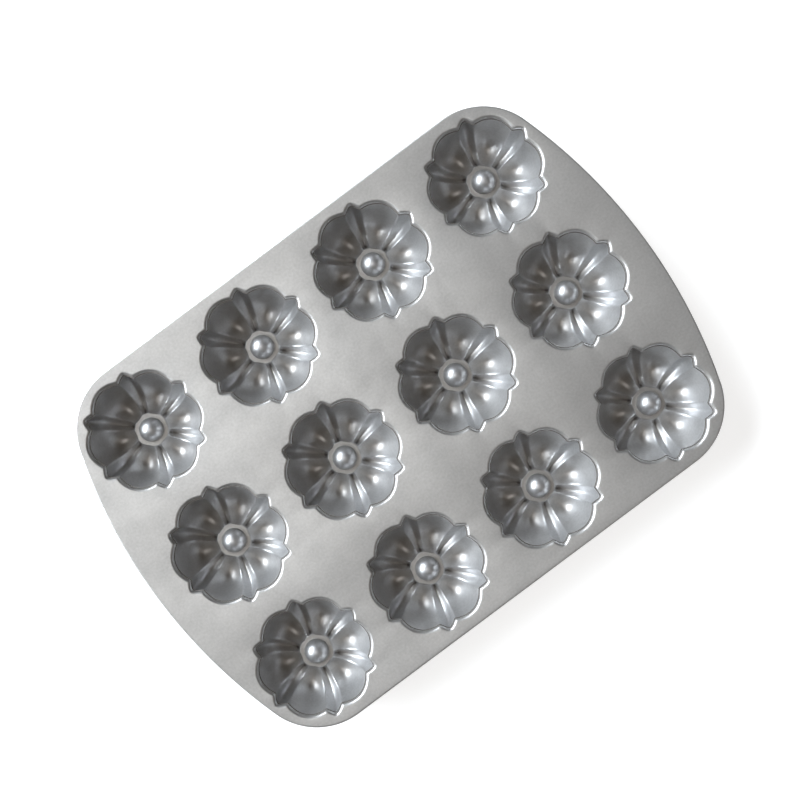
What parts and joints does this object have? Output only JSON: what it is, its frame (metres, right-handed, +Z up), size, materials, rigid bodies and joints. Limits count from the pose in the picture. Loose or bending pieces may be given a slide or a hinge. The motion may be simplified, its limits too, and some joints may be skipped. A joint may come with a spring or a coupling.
{
  "type": "fluted tube pan",
  "caption": "Flat baking pan with a grid of fluted ring-cake cups, each with round lobes, pointed grooves and a low centre nub.",
  "frame": {"origin": "centre of the pan on the plane that its cups rest on", "axes": "+X along the pan, from one bowed end to the other; +Y across it; +Z up, out of the cups' mouths"},
  "size_m": [0.39, 0.2744, 0.0305],
  "materials": {
    "deck_metal": "satin, very finely mottled",
    "cup_metal": "smooth satin"
  },
  "bodies": {
    "root": {"deck": "deck_metal", "cup_r1_c1": "cup_metal", "cup_r1_c2": "cup_metal", "cup_r1_c3": "cup_metal", "cup_r1_c4": "cup_metal", "cup_r2_c1": "cup_metal", "cup_r2_c2": "cup_metal", "cup_r2_c3": "cup_metal", "cup_r2_c4": "cup_metal", "cup_r3_c1": "cup_metal", "cup_r3_c2": "cup_metal", "cup_r3_c3": "cup_metal", "cup_r3_c4": "cup_metal"}
  },
  "joints": []
}
